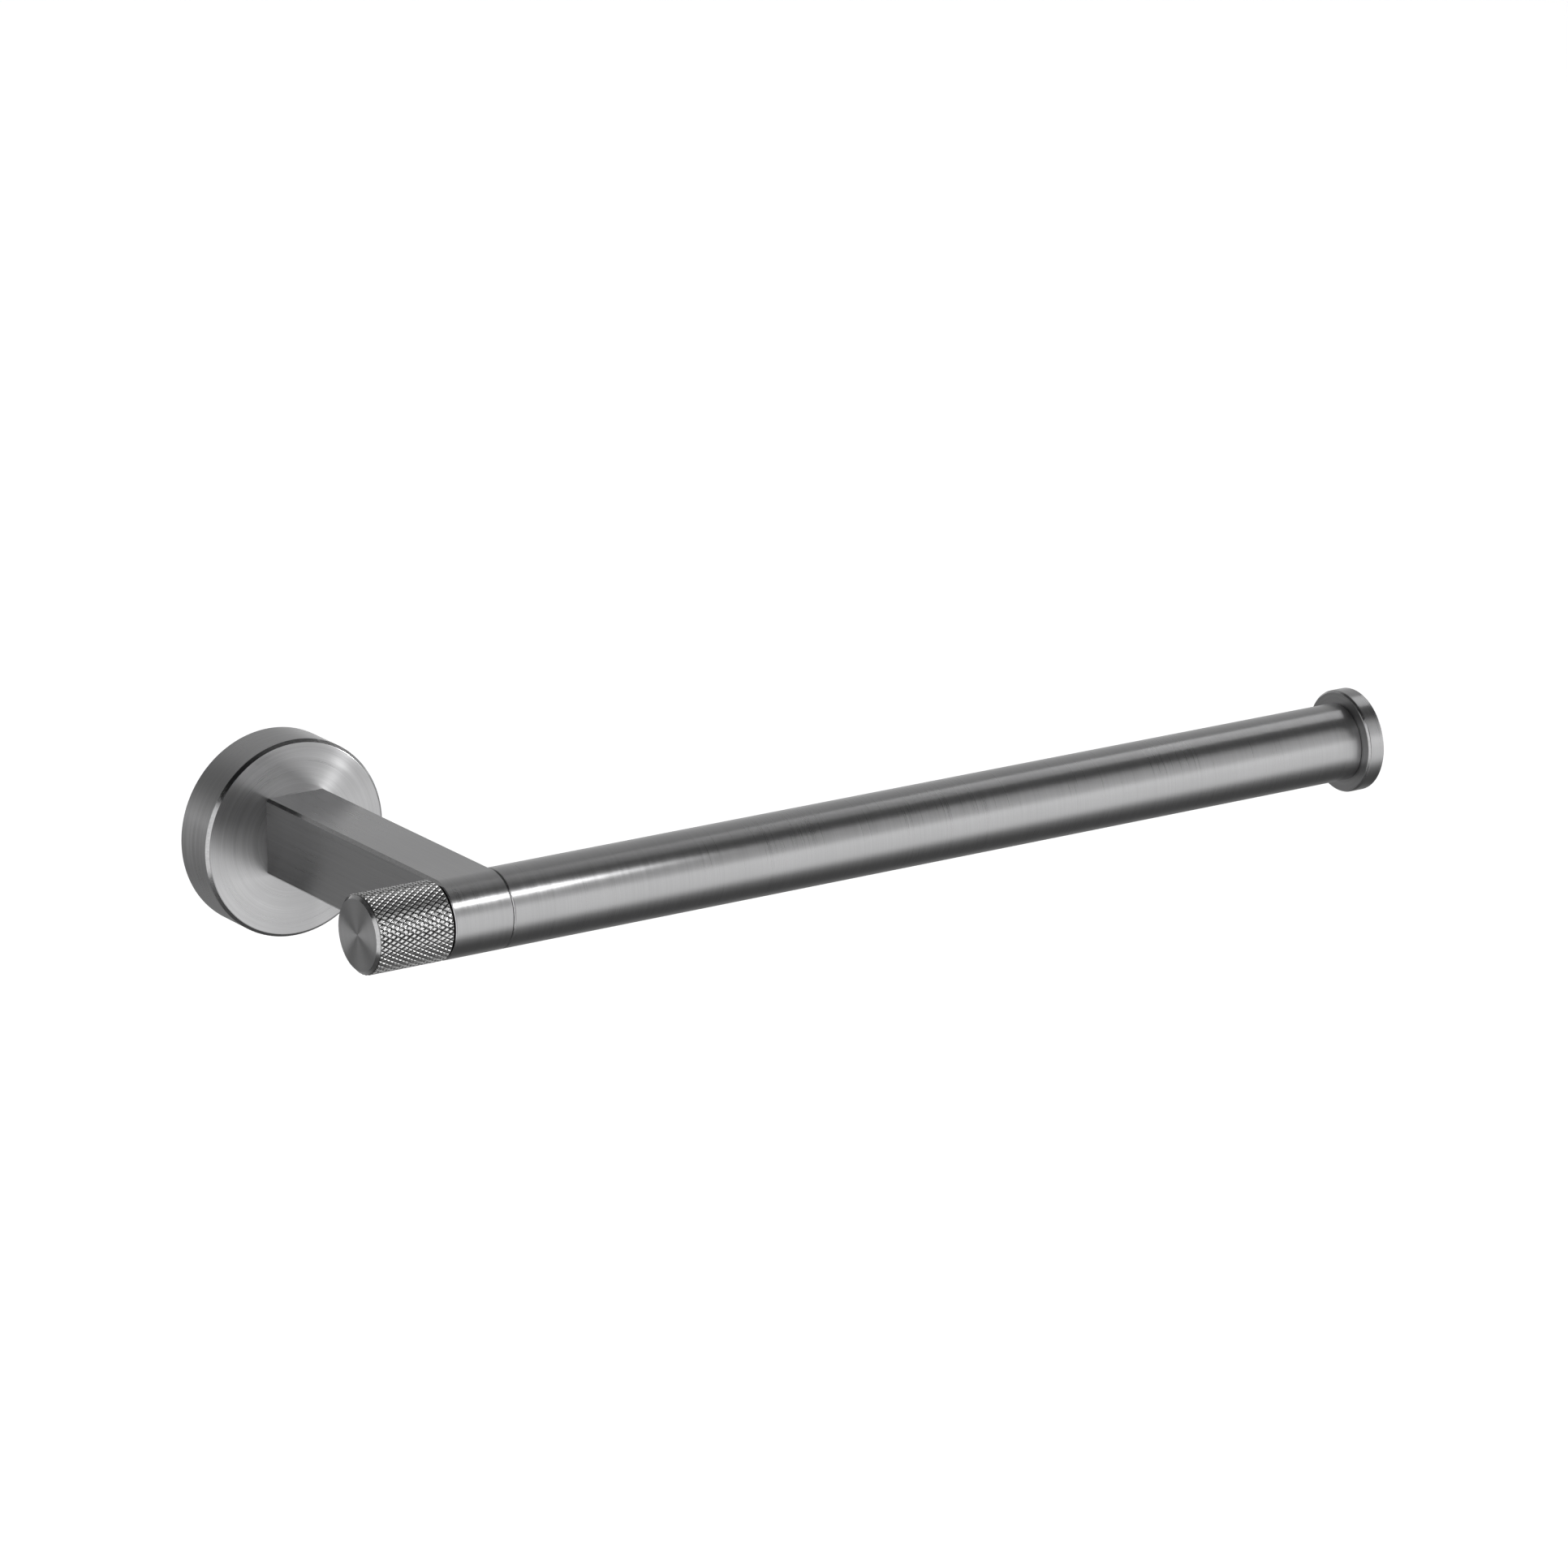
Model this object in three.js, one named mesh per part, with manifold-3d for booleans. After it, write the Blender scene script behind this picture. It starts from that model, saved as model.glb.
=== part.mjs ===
// Wall-mounted paper towel holder with a single arm, a clamped bar, a knurled clamp knob and an end cap.
// Millimetres, +Z up. The origin is the centre of the rosette's back, on the wall. The wall is the plane
// y = 0 and the holder stands out from it towards -Y. The bar runs along +X, to the end cap.

import * as THREE from "three";
import { mergeVertices } from "three/addons/utils/BufferGeometryUtils.js";
import Module from "manifold-3d";

// ---- Driving dimensions ----

// Overall sizes.
const wallToBar = 102; // from the wall to the bar's axis
const barLength = 281; // from the arm's side to the end cap's inner face
const barDiameter = 22; // the bar, the knob and the arm's round nose
const armWidth = 18; // along the bar
const armRise = 1.8; // the arm's middle above the rosette's

// Rosette.
const rosetteDiameter = 56;
const rosetteDepth = 14;
const rosetteWall = 2.5;
const rosetteFront = 4;
const rosetteChamfer = 0.9;

// Wall plate, hidden inside the rosette.
const plateThickness = 5.6;
const plateClearance = 0.5; // all round, inside the rosette
const grooveDepth = 1.5; // the locking groove around the plate's rim
const grooveFloorWidth = 2.6;
const grooveSlope = 0.6; // how far each side of the groove leans along the plate's thickness
const plateFloor = 2; // left under the pocket that clears the arm screws' heads
const slotWidth = 3.8; // for the wall screws
const slotLength = 9;

// Set screw that locks the rosette on the wall plate.
const setScrewDiameter = 4;
const setScrewTipDiameter = 2;
const setScrewInset = 0.4; // below the rosette's rim
const setScrewSocket = 2; // across the flats
const setScrewSocketDepth = 1.6;

// Arm.
const armChamfer = 0.8;

// Screws that hold the arm on the rosette, from behind.
const armScrewDiameter = 4;
const armScrewLength = 14; // under the head
const armScrewHeadDiameter = 7;
const armScrewHeadHeight = 4;
const armScrewSocket = 3; // across the flats
const armScrewSocketDepth = 2;
const armScrewSpacing = 11;

// Clamp stud and the pin that stops the bar from turning.
const studDiameter = 6;
const studInKnob = 14; // how far the stud reaches into the knob
const studInBar = 14; // how far the stud reaches into the bar's insert
const pinDiameter = 3;
const pinReach = 6; // into the arm, and into the insert

// Bar.
const barWall = 1.5;
const barChamfer = 0.35;
const armInsertLength = 20;
const capInsertLength = 14;

// Knob.
const knobLength = 23.8; // from the arm's side to the knob's end
const knobGap = 0.4; // the dark line between the knob and the arm
const knobBevel = 0.8;
const knobBoreSpare = 3.8; // the blind bore beyond the stud's end
const knobLip = 2.7; // the wall round the washer's recess
const washerThickness = 1;

// End cap.
const capDiameter = 29.2;
const capThickness = 5.2;
const capChamfer = 0.3;
const capSpigot = 6; // the part of the cap inside the bar
const capStudReach = 7; // into the cap and into its insert

// Fits.
const gap = 0.3; // between faces that meet
const boreClearance = 0.4; // around a stud, a screw or a pin, on the radius
const endClearance = 1; // beyond the end of a stud, a screw or a pin
const studChamfer = 0.5;

// ---- Sizes worked out from them ----

const barRadius = barDiameter / 2;
const armSide = armWidth / 2;
const rosetteRadius = rosetteDiameter / 2;
const rosetteInnerRadius = rosetteRadius - rosetteWall;
const plateRadius = rosetteInnerRadius - plateClearance;
const grooveRadius = plateRadius - grooveDepth;
const grooveMiddle = plateThickness / 2;
const pocketRadius = armScrewSpacing / 2 + armScrewHeadDiameter / 2 + Math.abs(armRise) + endClearance;
const armLength = wallToBar - rosetteDepth; // from the rosette's front to the bar's axis
const fittingRadius = barRadius - barWall - gap; // the inserts and the cap's spigot, inside the bar
const studRadius = studDiameter / 2;
const studBoreRadius = studRadius + boreClearance;
const pinRadius = pinDiameter / 2;
const pinOffset = (studBoreRadius + fittingRadius) / 2; // amid the insert's wall, on the wall plate's side
const washerRecessRadius = barRadius - knobLip;
const washerRecessDepth = washerThickness + 2 * gap - knobGap;
const washerRadius = washerRecessRadius - gap;
const capFace = armSide + barLength; // the cap's inner face
const spigotEnd = capFace - capSpigot;

// ---- Materials ----

function metal(name, color, roughness) {
  return new THREE.MeshStandardMaterial({ name, color, roughness, metalness: 1 });
}

const brushedSteel = metal("brushed_steel", 0x8c8c8e, 0.34);
const turnedSteel = metal("turned_steel", 0x86868a, 0.38);
const zincSteel = metal("zinc_steel", 0xa9abae, 0.45);
const blackSteel = metal("black_steel", 0x2b2c2e, 0.5);
const nylon = new THREE.MeshStandardMaterial({
  name: "black_nylon",
  color: 0x1c1c1d,
  roughness: 0.6,
  metalness: 0,
});

// ---- Shape helpers ----

const wasm = await Module();
wasm.setup();

const roundSides = 64; // around the large round pieces
const smallSides = 24; // around screws, studs, pins and their bores

// A closed solid from a three.js geometry, with its faces turned out.
function solid(geometry) {
  const bare = geometry.index ? geometry.clone() : mergeVertices(geometry);
  bare.deleteAttribute("normal");
  bare.deleteAttribute("uv");
  const merged = mergeVertices(bare, 1e-4);
  const position = merged.attributes.position;
  const index = [];
  let volume = 0;
  for (let i = 0; i < merged.index.count; i += 3) {
    const corners = [0, 1, 2].map((k) => merged.index.getX(i + k));
    if (new Set(corners).size < 3) continue;
    const [a, b, c] = corners.map((corner) => new THREE.Vector3().fromBufferAttribute(position, corner));
    volume += a.dot(b.cross(c));
    index.push(...corners);
  }
  if (volume < 0) index.reverse();
  const mesh = new wasm.Mesh({
    numProp: 3,
    vertProperties: new Float32Array(position.array),
    triVerts: new Uint32Array(index),
  });
  return new wasm.Manifold(mesh);
}

// A piece turned about its own Y axis. The profile lists [radius, height] pairs.
function turned(profile, sides) {
  const points = profile.map(([radius, height]) => new THREE.Vector2(radius, height));
  return solid(new THREE.LatheGeometry(points, sides));
}

// A rod along Y with both ends chamfered.
function rod(radius, low, high, chamfer, sides = smallSides) {
  return turned([
    [0, low],
    [radius - chamfer, low],
    [radius, low + chamfer],
    [radius, high - chamfer],
    [radius - chamfer, high],
    [0, high],
  ], sides);
}

// A plain round cutter along Y.
function drill(radius, low, high, sides = smallSides) {
  return turned([[0, low], [radius, low], [radius, high], [0, high]], sides);
}

// A six-sided cutter along Y, for a screw's socket.
function hexDrill(acrossFlats, low, high) {
  return drill(acrossFlats / Math.sqrt(3), low, high, 6);
}

function box(size, centre) {
  const geometry = new THREE.BoxGeometry(...size);
  geometry.translate(...centre);
  return solid(geometry);
}

// Turns a solid made along Y to lie along another axis of the same frame.
function alongX(shape) {
  return shape.rotate([0, 0, -90]);
}

function alongZ(shape) {
  return shape.rotate([90, 0, 0]);
}

// A named mesh from a solid.
function piece(name, shape, material) {
  const { vertProperties, triVerts } = shape.getMesh();
  const geometry = new THREE.BufferGeometry();
  geometry.setAttribute("position", new THREE.BufferAttribute(new Float32Array(vertProperties), 3));
  geometry.setIndex(new THREE.BufferAttribute(new Uint32Array(triVerts), 1));
  geometry.computeVertexNormals();
  const mesh = new THREE.Mesh(geometry, material);
  mesh.name = name;
  return mesh;
}

// ---- Pieces on the wall. In this frame +Y points out from the wall and +Z is up ----

// The arm screws' middles, from the rosette's centre.
const armScrewHeights = {
  arm_screw_upper: armRise + armScrewSpacing / 2,
  arm_screw_lower: armRise - armScrewSpacing / 2,
};

function wallPlate() {
  const grooveFloorLow = grooveMiddle - grooveFloorWidth / 2;
  const grooveFloorHigh = grooveMiddle + grooveFloorWidth / 2;
  const dish = turned([
    [0, 0],
    [plateRadius, 0],
    [plateRadius, grooveFloorLow - grooveSlope],
    [grooveRadius, grooveFloorLow],
    [grooveRadius, grooveFloorHigh],
    [plateRadius, grooveFloorHigh + grooveSlope],
    [plateRadius, plateThickness],
    [pocketRadius, plateThickness],
    [pocketRadius, plateFloor],
    [0, plateFloor],
  ], roundSides);
  const slotPlace = (pocketRadius + grooveRadius) / 2;
  const straight = slotLength - slotWidth;
  const through = plateThickness + 2 * endClearance;
  let plate = dish;
  for (const side of [-1, 1]) {
    const place = side * slotPlace;
    plate = plate.subtract(box([slotWidth, through, straight], [place, plateThickness / 2, 0]));
    for (const end of [-1, 1]) {
      const round = drill(slotWidth / 2, -endClearance, plateThickness + endClearance);
      plate = plate.subtract(round.translate([place, 0, (end * straight) / 2]));
    }
  }
  return piece("wall_plate", plate, zincSteel);
}

function rosette() {
  const cup = turned([
    [0, rosetteDepth],
    [rosetteRadius - rosetteChamfer, rosetteDepth],
    [rosetteRadius, rosetteDepth - rosetteChamfer],
    [rosetteRadius, 0],
    [rosetteInnerRadius, 0],
    [rosetteInnerRadius, rosetteDepth - rosetteFront],
    [0, rosetteDepth - rosetteFront],
  ], roundSides);
  let shell = cup;
  for (const height of Object.values(armScrewHeights)) {
    const hole = drill(armScrewDiameter / 2 + boreClearance, 0, rosetteDepth + endClearance);
    shell = shell.subtract(hole.translate([0, 0, height]));
  }
  const low = rosetteInnerRadius - endClearance;
  const high = rosetteRadius + endClearance;
  const setScrewHole = alongZ(drill(setScrewDiameter / 2 + gap, low, high)).mirror([0, 0, 1]);
  shell = shell.subtract(setScrewHole.translate([0, grooveMiddle, 0]));
  return piece("rosette", shell, brushedSteel);
}

// Made along Y from the tip outwards, then laid along -Z under the rosette's centre.
function rosetteSetScrew() {
  const radius = setScrewDiameter / 2;
  const tip = grooveRadius + gap;
  const shoulder = rosetteInnerRadius;
  const head = rosetteRadius - setScrewInset;
  const body = turned([
    [0, tip],
    [setScrewTipDiameter / 2, tip],
    [radius, shoulder],
    [radius, head],
    [0, head],
  ], smallSides);
  const socket = hexDrill(setScrewSocket, head - setScrewSocketDepth, head + endClearance);
  const mesh = piece("rosette_set_screw", body.subtract(socket), blackSteel);
  mesh.rotation.x = -Math.PI / 2;
  mesh.position.y = grooveMiddle;
  return mesh;
}

function armScrew(name, height) {
  const radius = armScrewDiameter / 2;
  const headTop = rosetteDepth - rosetteFront - gap; // the head's face against the rosette's front wall
  const headBottom = headTop - armScrewHeadHeight;
  const end = headTop + armScrewLength;
  const body = turned([
    [0, headBottom],
    [armScrewHeadDiameter / 2, headBottom],
    [armScrewHeadDiameter / 2, headTop],
    [radius, headTop],
    [radius, end - studChamfer],
    [radius - studChamfer, end],
    [0, end],
  ], smallSides);
  const socket = hexDrill(armScrewSocket, headBottom - endClearance, headBottom + armScrewSocketDepth);
  const mesh = piece(name, body.subtract(socket), zincSteel);
  mesh.position.z = height;
  return mesh;
}

function wallPieces() {
  const group = new THREE.Group();
  group.rotation.z = Math.PI; // local +Y is out from the wall
  group.add(wallPlate(), rosette(), rosetteSetScrew());
  for (const [name, height] of Object.entries(armScrewHeights)) group.add(armScrew(name, height));
  return group;
}

// ---- Pieces on the bar's axis. In this frame X is the bar's axis and x = 0 is the arm's middle ----

// The arm's side outline, with the bar's axis at the centre of its nose and its back end past the rosette.
function armOutline() {
  const back = armLength + 2 * armChamfer;
  const shape = new THREE.Shape();
  shape.moveTo(back, -barRadius);
  shape.lineTo(back, barRadius);
  shape.lineTo(0, barRadius);
  shape.absarc(0, 0, barRadius, Math.PI / 2, (3 * Math.PI) / 2, false);
  return shape;
}

function arm() {
  const outline = new THREE.ExtrudeGeometry(armOutline(), {
    depth: armWidth - 2 * armChamfer,
    bevelThickness: armChamfer,
    bevelSize: armChamfer,
    bevelOffset: -armChamfer,
    bevelSegments: 1,
    curveSegments: roundSides / 2,
  });
  outline.translate(0, 0, armChamfer - armSide);
  outline.rotateX(Math.PI / 2); // the outline's height becomes Z and its width -Y
  outline.rotateZ(Math.PI / 2); // its length becomes Y and its width X
  const back = armLength - gap;
  const trim = box([2 * armWidth, armWidth, 2 * barDiameter], [0, back + armWidth / 2, 0]);
  let body = solid(outline).subtract(trim);
  body = body.subtract(alongX(drill(studBoreRadius, -armWidth, armWidth)));
  const pinHole = alongX(drill(pinRadius + gap, armSide - pinReach - gap, armWidth));
  body = body.subtract(pinHole.translate([0, pinOffset, 0]));
  const screwReach = armScrewLength - rosetteFront + endClearance;
  for (const side of [-1, 1]) {
    const hole = drill(armScrewDiameter / 2 + boreClearance, back - screwReach, armLength);
    body = body.subtract(hole.translate([0, 0, (side * armScrewSpacing) / 2]));
  }
  return piece("arm", body, brushedSteel);
}

// A piece turned about the bar's axis: made along Y, then turned so that its heights lie along X.
function onAxis(name, shape, material) {
  const mesh = piece(name, shape, material);
  mesh.rotation.z = -Math.PI / 2;
  return mesh;
}

function barTube() {
  const low = armSide + gap;
  const high = capFace - gap;
  const inner = barRadius - barWall;
  return onAxis("bar_tube", turned([
    [inner, low],
    [barRadius - barChamfer, low],
    [barRadius, low + barChamfer],
    [barRadius, high],
    [inner, high],
    [inner, low],
  ], roundSides), turnedSteel);
}

function clampStud() {
  const shape = rod(studRadius, -armSide - studInKnob, armSide + studInBar, studChamfer);
  return onAxis("clamp_stud", shape, zincSteel);
}

// The pin's hole in the insert is placed in the turned frame, where the wall side is local -X.
function armEndInsert() {
  const low = armSide + gap;
  const high = low + armInsertLength;
  const body = turned([
    [0, low],
    [fittingRadius, low],
    [fittingRadius, high],
    [0, high],
  ], roundSides);
  const bore = drill(studBoreRadius, low - endClearance, high + endClearance);
  const pinHole = drill(pinRadius + gap, low - endClearance, armSide + pinReach + gap);
  const shape = body.subtract(bore).subtract(pinHole.translate([-pinOffset, 0, 0]));
  return onAxis("bar_insert_arm_end", shape, zincSteel);
}

function antiTurnPin() {
  const shape = rod(pinRadius, armSide - pinReach, armSide + pinReach, studChamfer / 2);
  return onAxis("anti_turn_pin", shape.translate([-pinOffset, 0, 0]), zincSteel);
}

function capEndInsert() {
  const high = spigotEnd - gap;
  const low = high - capInsertLength;
  const body = turned([
    [studBoreRadius, low],
    [fittingRadius, low],
    [fittingRadius, high],
    [studBoreRadius, high],
    [studBoreRadius, low],
  ], roundSides);
  return onAxis("bar_insert_cap_end", body, zincSteel);
}

function capStud() {
  const shape = rod(studRadius, spigotEnd - capStudReach, spigotEnd + capStudReach, studChamfer);
  return onAxis("cap_stud", shape, zincSteel);
}

function endCap() {
  const radius = capDiameter / 2;
  const face = capFace + capThickness;
  const body = turned([
    [0, spigotEnd],
    [fittingRadius, spigotEnd],
    [fittingRadius, capFace],
    [radius - capChamfer, capFace],
    [radius, capFace + capChamfer],
    [radius, face - capChamfer],
    [radius - capChamfer, face],
    [0, face],
  ], roundSides);
  const bore = drill(studBoreRadius, spigotEnd - endClearance, spigotEnd + capStudReach + endClearance);
  return onAxis("end_cap", body.subtract(bore), brushedSteel);
}

function knob() {
  const inner = -armSide - knobGap;
  const outer = -armSide - knobLength;
  const body = rod(barRadius, outer, inner, knobBevel, roundSides);
  const boreEnd = -armSide - studInKnob - knobBoreSpare;
  const bore = drill(studBoreRadius, boreEnd, inner + endClearance);
  const recess = drill(washerRecessRadius, inner - washerRecessDepth, inner + endClearance);
  return onAxis("knob", body.subtract(bore).subtract(recess), brushedSteel);
}

function knobWasher() {
  const high = -armSide - gap;
  const low = high - washerThickness;
  const hole = studBoreRadius + gap;
  return onAxis("knob_washer", turned([
    [hole, low],
    [washerRadius, low],
    [washerRadius, high],
    [hole, high],
    [hole, low],
  ], roundSides), nylon);
}

function axisPieces() {
  const group = new THREE.Group();
  group.position.set(0, -wallToBar, armRise);
  group.add(arm(), barTube(), clampStud(), armEndInsert(), antiTurnPin(), capEndInsert(), capStud());
  group.add(endCap(), knob(), knobWasher());
  return group;
}

const holder = new THREE.Group();
holder.name = "paper_towel_holder";
holder.add(wallPieces(), axisPieces());

export default holder;
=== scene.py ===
# %% [markdown]
# # A paper towel holder in brushed steel
# The holder hangs on a wall by a round rosette. An arm stands out from the rosette and rounds into a nose,
# a long bar leaves the nose on one side, and a knurled knob clamps it from the other side. This lesson
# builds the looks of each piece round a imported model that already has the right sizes, so every
# measurement below is read from that model.

# %% Load the sized model
import math

import bmesh
import bpy
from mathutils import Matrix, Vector


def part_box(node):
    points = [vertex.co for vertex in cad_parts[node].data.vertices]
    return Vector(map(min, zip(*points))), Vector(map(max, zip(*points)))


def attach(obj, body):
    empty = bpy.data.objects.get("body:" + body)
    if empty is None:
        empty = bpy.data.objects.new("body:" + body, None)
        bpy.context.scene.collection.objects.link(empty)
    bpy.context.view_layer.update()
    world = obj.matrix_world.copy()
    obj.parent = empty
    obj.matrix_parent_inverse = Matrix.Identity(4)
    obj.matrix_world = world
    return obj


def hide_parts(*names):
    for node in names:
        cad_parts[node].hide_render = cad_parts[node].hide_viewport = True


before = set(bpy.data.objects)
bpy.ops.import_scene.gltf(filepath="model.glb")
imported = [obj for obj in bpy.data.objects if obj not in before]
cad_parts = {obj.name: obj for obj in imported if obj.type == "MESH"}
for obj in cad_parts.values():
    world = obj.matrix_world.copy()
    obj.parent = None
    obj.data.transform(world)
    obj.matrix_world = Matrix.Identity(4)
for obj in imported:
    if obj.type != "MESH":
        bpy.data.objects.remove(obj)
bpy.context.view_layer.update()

# %% [markdown]
# ## Read the sizes
# The bar, the knob, the nose and the cap share one axis, which runs along X. The rosette's axis runs along
# Y, into the wall. Both are worked out from the boxes of the sized pieces, with a small class for the
# numbers that are used again and again.

# %% Axes and sizes
class Extent:
    """The box of one sized piece: its lowest and highest corner, its middle and its size."""

    def __init__(self, node):
        self.low, self.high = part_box(node)
        self.middle = (self.low + self.high) / 2
        self.size = self.high - self.low


ARM = Extent("arm")
BAR = Extent("bar_tube")
CAP = Extent("end_cap")
KNOB = Extent("knob")
PLATE = Extent("wall_plate")
ROSETTE = Extent("rosette")

BAR_RADIUS = BAR.size.z / 2
AXIS = Vector((0, BAR.middle.y, BAR.middle.z))  # a point on the bar's axis, at the arm's middle
ARM_HALF = ARM.size.x / 2
ROSETTE_RADIUS = ROSETTE.size.z / 2
ROSETTE_DEPTH = ROSETTE.size.y
print("bar radius", round(BAR_RADIUS, 4), "rosette radius", round(ROSETTE_RADIUS, 4))

# %% [markdown]
# ## The camera
# A long lens from two metres away keeps the bar's edges nearly parallel. The camera is placed by its angle
# round the holder and its height above the horizon, because those two are easy to judge. A place in
# X, Y and Z would do the same but says nothing. The camera aims at a point between the arm and the bar.

# %% Camera
LENS_MM = 195.0
SENSOR_MM = 36
CAMERA_DISTANCE = 2.337
CAMERA_AZIMUTH = math.radians(-33.51)
CAMERA_ELEVATION = math.radians(16.93)
AIM = Vector((0.1217, -0.0719, 0.0098))
FAR_CLIP = 50  # past the far edge of the floor


def add_camera():
    """Looks at the aim point from the given angle, without roll."""
    back = Vector((
        math.sin(CAMERA_AZIMUTH) * math.cos(CAMERA_ELEVATION),
        -math.cos(CAMERA_AZIMUTH) * math.cos(CAMERA_ELEVATION),
        math.sin(CAMERA_ELEVATION),
    ))
    bpy.ops.object.camera_add(location=AIM + back * CAMERA_DISTANCE)
    camera = bpy.context.active_object
    camera.rotation_euler = back.to_track_quat("Z", "Y").to_euler()
    camera.data.lens = LENS_MM
    camera.data.sensor_width = SENSOR_MM
    camera.data.clip_end = FAR_CLIP
    bpy.context.scene.camera = camera
    return camera


camera = add_camera()
print("camera at", [round(value, 3) for value in camera.location])

# %% [markdown]
# ## Helpers for working in edit mode
# Blender's operators act on whatever is selected. Loading leaves things selected, so each step first clears
# the selection and then picks faces or edges by where they are, the way a hand would click on them. Picking
# by number would be shorter, but the numbers change with every edit.

# %% Selection helpers
def clear_selection():
    if bpy.context.mode != "OBJECT":
        bpy.ops.object.mode_set(mode="OBJECT")
    bpy.ops.object.select_all(action="DESELECT")


def select_only(piece):
    clear_selection()
    piece.select_set(True)
    bpy.context.view_layer.objects.active = piece


def enter_edit(piece):
    select_only(piece)
    bpy.ops.object.mode_set(mode="EDIT")
    bpy.ops.mesh.select_all(action="DESELECT")


def leave_edit():
    bpy.ops.object.mode_set(mode="OBJECT")


def pick(piece, kind, test):
    """Selects the faces or edges of the piece in edit mode for which the test is true."""
    bpy.ops.mesh.select_mode(type=kind)
    bpy.ops.mesh.select_all(action="DESELECT")
    mesh = bmesh.from_edit_mesh(piece.data)
    elements = mesh.faces if kind == "FACE" else mesh.edges
    chosen = [element for element in elements if test(element)]
    for element in chosen:
        element.select_set(True)
    mesh.select_flush_mode()
    bmesh.update_edit_mesh(piece.data)
    return len(chosen)


def near(value, target, slack=2e-5):
    return abs(value - target) < slack


# %% [markdown]
# ## Finishing helpers
# A turned piece is shaped upright on its own axis and then laid where it belongs. Its place is applied to
# the mesh, so the object itself stays at the origin. A tiny bevel breaks every hard edge: no real edge is
# perfectly sharp, and the bevel is what catches the light.

# %% Finishing helpers
EDGE_BREAK = 0.00009
BREAK_ANGLE = math.radians(30)  # edges that turn by more than this are broken
SHARP_ANGLE = math.radians(21)  # and those that turn by less than this are shaded smooth
WELD = 1e-6  # points closer than this become one


def lay(piece, place, turn=(0, 0, 0)):
    """Moves and turns a finished shape, and applies that to its mesh."""
    select_only(piece)
    piece.location = place
    piece.rotation_euler = turn
    bpy.ops.object.transform_apply(location=True, rotation=True, scale=True)


def apply_modifiers(piece):
    select_only(piece)
    for modifier in list(piece.modifiers):
        bpy.ops.object.modifier_apply(modifier=modifier.name)


def break_edges(piece, width=EDGE_BREAK):
    bevel = piece.modifiers.new("edge break", "BEVEL")
    bevel.width = width
    bevel.segments = 1
    bevel.limit_method = "ANGLE"
    bevel.angle_limit = BREAK_ANGLE
    bevel.use_clamp_overlap = True
    apply_modifiers(piece)


def tidy(piece):
    """Welds the mesh, turns its faces out and shades its round stretches smooth."""
    enter_edit(piece)
    bpy.ops.mesh.select_all(action="SELECT")
    bpy.ops.mesh.remove_doubles(threshold=WELD)
    bpy.ops.mesh.normals_make_consistent(inside=False)
    leave_edit()
    bpy.ops.object.shade_smooth_by_angle(angle=SHARP_ANGLE)


def cut(piece, cutter):
    """Takes the cutter's shape out of the piece and removes the cutter."""
    boolean = piece.modifiers.new("cut", "BOOLEAN")
    boolean.operation = "DIFFERENCE"
    boolean.solver = "EXACT"
    boolean.object = cutter
    apply_modifiers(piece)
    bpy.data.objects.remove(cutter)


def show(piece, body, slot, *nodes):
    """Hands the finished piece to the sized model: what it moves with and what it stands for."""
    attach(piece, body)
    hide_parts(*nodes)
    faces = len(piece.data.polygons)
    print(f"{piece.name}: {faces} faces, rides on {body}")


# %% [markdown]
# ## Turning on a lathe
# Nearly every piece here is round. One way to make such a piece is to spin a drawn profile. Another is what
# this helper does: start from a short cone and keep extruding its top face, resizing the face after each
# step. The second way reads like a list of cuts on a lathe, can go back down inside the piece to make a
# bore, and never leaves an open pole, so it is used for all of them.

# %% Lathe helper
SIDES = 128
SMALL_SIDES = 48
PAST = 0.001  # how far a cutter runs on beyond the piece


def lathe(name, profile, sides=SIDES, through=False):
    """Turns a piece about Z from steps of radius and height. With through, the last one ends the bore."""
    (first_radius, first_height), (radius, height) = profile[:2]
    clear_selection()
    bpy.ops.mesh.primitive_cone_add(
        vertices=sides,
        radius1=first_radius,
        radius2=radius,
        depth=height - first_height,
        end_fill_type="NGON",
        location=(0, 0, (first_height + height) / 2),
    )
    piece = bpy.context.active_object
    piece.name = name
    bpy.ops.object.transform_apply(location=True, rotation=True, scale=True)
    enter_edit(piece)
    pick(piece, "FACE", lambda face: len(face.verts) == sides and face.normal.z > 0.9)
    for next_radius, next_height in profile[2:]:
        rise = next_height - height
        bpy.ops.mesh.extrude_region_move(TRANSFORM_OT_translate={"value": (0, 0, rise)})
        grow = next_radius / radius
        bpy.ops.transform.resize(value=(grow, grow, 1), center_override=(0, 0, next_height))
        radius, height = next_radius, next_height
    if through:
        open_bore(piece, sides, first_radius, first_height, radius)
    leave_edit()
    return piece


def open_bore(piece, sides, first_radius, first_height, bore_radius):
    """Joins the bore's far end to the face that the turning started from."""
    pick(piece, "FACE", lambda face: len(face.verts) == sides and face.normal.z < -0.9)
    bpy.ops.mesh.extrude_region_move(TRANSFORM_OT_translate={"value": (0, 0, 0)})
    shrink = bore_radius / first_radius
    bpy.ops.transform.resize(value=(shrink, shrink, 1), center_override=(0, 0, first_height))
    pick(piece, "FACE", lambda face: len(face.verts) == sides)
    bpy.ops.mesh.delete(type="FACE")
    bpy.ops.mesh.select_all(action="SELECT")
    bpy.ops.mesh.remove_doubles(threshold=WELD)


def drill_bit(radius, low, high, sides=SMALL_SIDES):
    """A plain round or six-sided cutter, which is used up by a cut."""
    return lathe("drill_bit", [(radius, low), (radius, high)], sides)


OUT_FROM_WALL = (math.pi / 2, 0, 0)  # turns the lathe's Z to point out from the wall
ALONG_BAR = (0, math.pi / 2, 0)  # turns the lathe's Z to point along the bar
DOWN = (math.pi, 0, 0)

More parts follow.
